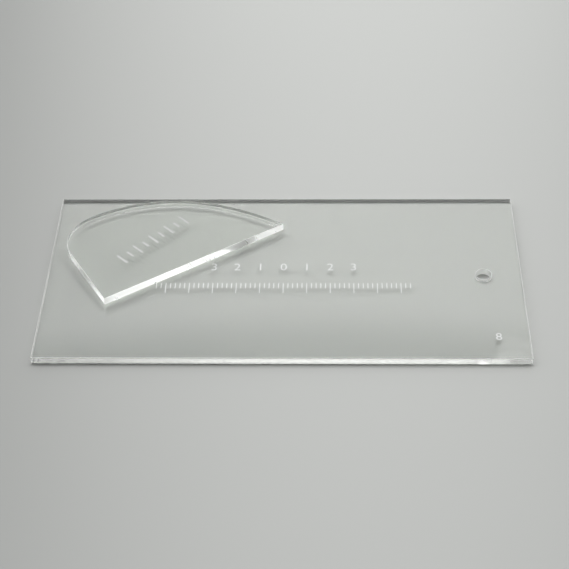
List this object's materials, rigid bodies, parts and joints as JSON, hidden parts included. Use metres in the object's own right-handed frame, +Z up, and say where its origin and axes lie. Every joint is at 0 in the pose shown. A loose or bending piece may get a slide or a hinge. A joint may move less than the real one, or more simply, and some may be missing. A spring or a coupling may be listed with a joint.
{
  "type": "icing smoother",
  "caption": "Clear acrylic icing smoother: a flat rectangular scraper plate with a hanging hole, and a loose curved hand scraper lying on it.",
  "frame": {"origin": "centre of the plate's underside, which is the surface that the part lies on", "axes": "+X along the plate's long edges towards the hanging hole, +Y towards the long edge nearer the hand scraper's curved edge, +Z up, square to the sheet"},
  "size_m": [0.2032, 0.1016, 0.0067],
  "materials": {
    "plate_acrylic": "clear colourless acrylic sheet, polished faces and bright cut edges",
    "hand_acrylic": "clear colourless acrylic sheet, polished faces and bright cut edges"
  },
  "bodies": {
    "plate": {"scraper_plate": "plate_acrylic"},
    "hand_scraper": {"hand_scraper": "hand_acrylic"}
  },
  "joints": [
    {"name": "hand_scraper_lift", "type": "slide", "parent": "plate", "child": "hand_scraper", "axis": [0, 0, 1], "range_m": [0, 0.06]}
  ]
}
